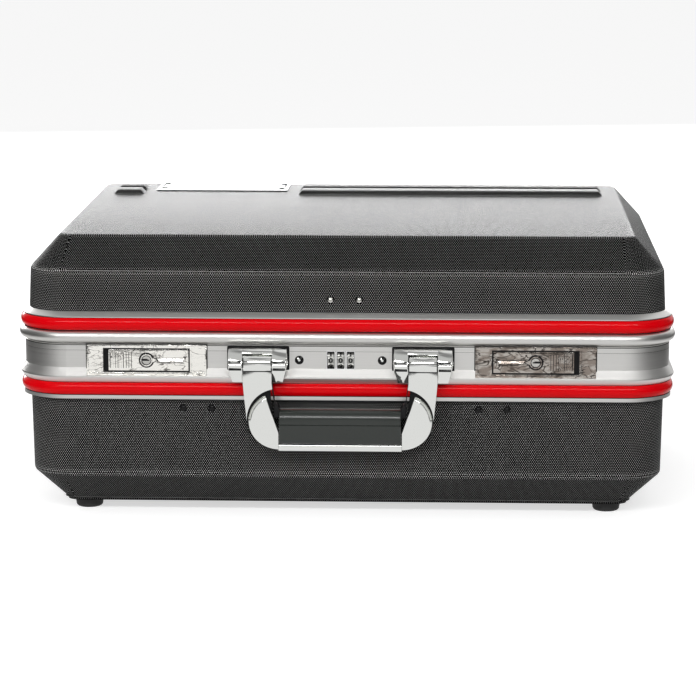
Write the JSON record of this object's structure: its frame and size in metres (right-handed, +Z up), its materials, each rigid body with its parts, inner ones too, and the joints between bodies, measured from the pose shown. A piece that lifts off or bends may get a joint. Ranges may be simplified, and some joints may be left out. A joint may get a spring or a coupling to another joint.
{
  "type": "hard tool case",
  "caption": "Hard-shell tool case with framed base and hinged lid, sliding key locks, number wheels, swinging front handle, rubber feet and an inner lid board.",
  "frame": {"origin": "middle of the case on the floor under its four feet", "axes": "+X to the right as the handle is faced, +Y from the handle to the hinges, +Z up from the feet to the lid"},
  "size_m": [0.5086, 0.4195, 0.2226],
  "materials": {
    "shell_abs": "grained black ABS",
    "frame_aluminium": "satin anodised",
    "trim_red": "gloss red PVC bead",
    "foot_rubber": "moulded black rubber",
    "zinc_steel": "zinc plated",
    "rivet_black": "black lacquer",
    "chrome": "polished",
    "brushed_nickel": "nickel plated",
    "lock_nickel": "pressed, nickel plated",
    "black_steel": "satin black",
    "wheel_nickel": "turned",
    "grip_plastic": "satin dark grey",
    "plate_aluminium": "bare, brushed",
    "board_black": "fine grain"
  },
  "bodies": {
    "base": {"base_shell": "shell_abs", "base_frame": "frame_aluminium", "base_trim": "trim_red", "feet": "foot_rubber", "foot_screws": "zinc_steel", "base_rivets": "rivet_black", "pallet_rests": "zinc_steel", "lock_plate_left": "lock_nickel", "lock_plate_right": "lock_nickel", "lock_case_left": "zinc_steel", "lock_case_right": "zinc_steel", "lock_screws": "zinc_steel", "combination_housing": "black_steel", "wheel_axle": "zinc_steel", "band_screws": "chrome", "bracket_left": "chrome", "bracket_right": "chrome", "bracket_screws": "zinc_steel", "handle_pins": "brushed_nickel", "hinge_leaves_base": "zinc_steel", "hinge_pins": "brushed_nickel", "hinge_rivets_base": "brushed_nickel"},
    "lid": {"lid_shell": "shell_abs", "lid_frame": "frame_aluminium", "lid_trim": "trim_red", "lid_rivets": "brushed_nickel", "name_plate": "plate_aluminium", "plate_rivets": "rivet_black", "board_clips": "zinc_steel", "clip_rivets": "rivet_black", "lid_board": "board_black", "keepers": "zinc_steel", "keeper_rivets": "brushed_nickel", "hinge_leaves_lid": "zinc_steel", "hinge_rivets_lid": "brushed_nickel"},
    "handle": {"handle_frame": "chrome", "handle_grip": "grip_plastic"},
    "lock_slide_left": {"slider_left": "lock_nickel", "hook_left": "zinc_steel"},
    "lock_slide_right": {"slider_right": "lock_nickel", "hook_right": "zinc_steel"},
    "key_left": {"key_plug_left": "brushed_nickel"},
    "key_right": {"key_plug_right": "brushed_nickel"},
    "wheel_1": {"number_wheel_1": "wheel_nickel"},
    "wheel_2": {"number_wheel_2": "wheel_nickel"},
    "wheel_3": {"number_wheel_3": "wheel_nickel"}
  },
  "joints": [
    {"name": "lid_hinge", "type": "hinge", "parent": "base", "child": "lid", "pos_m": [0, 0.2021, 0.13815], "axis": [-1, 0, 0], "range_deg": [0, 95]},
    {"name": "handle_swing", "type": "hinge", "parent": "base", "child": "handle", "pos_m": [-0.003, -0.2018, 0.1249], "axis": [-1, 0, 0], "range_deg": [0, 100]},
    {"name": "lock_slide_left_travel", "type": "slide", "parent": "base", "child": "lock_slide_left", "axis": [-1, 0, 0], "range_m": [0, 0.003]},
    {"name": "lock_slide_right_travel", "type": "slide", "parent": "base", "child": "lock_slide_right", "axis": [1, 0, 0], "range_m": [0, 0.003]},
    {"name": "key_left_turn", "type": "hinge", "parent": "lock_slide_left", "child": "key_left", "pos_m": [-0.152, -0.1925, 0.1257], "axis": [0, 1, 0], "range_deg": [0, 90]},
    {"name": "key_right_turn", "type": "hinge", "parent": "lock_slide_right", "child": "key_right", "pos_m": [0.146, -0.1925, 0.1257], "axis": [0, -1, 0], "range_deg": [0, 90]},
    {"name": "wheel_1_spin", "type": "hinge", "parent": "base", "child": "wheel_1", "pos_m": [-0.0106, -0.1855, 0.1262], "axis": [1, 0, 0], "continuous": true},
    {"name": "wheel_2_spin", "type": "hinge", "parent": "base", "child": "wheel_2", "pos_m": [-0.003, -0.1855, 0.1262], "axis": [1, 0, 0], "continuous": true},
    {"name": "wheel_3_spin", "type": "hinge", "parent": "base", "child": "wheel_3", "pos_m": [0.0046, -0.1855, 0.1262], "axis": [1, 0, 0], "continuous": true}
  ]
}
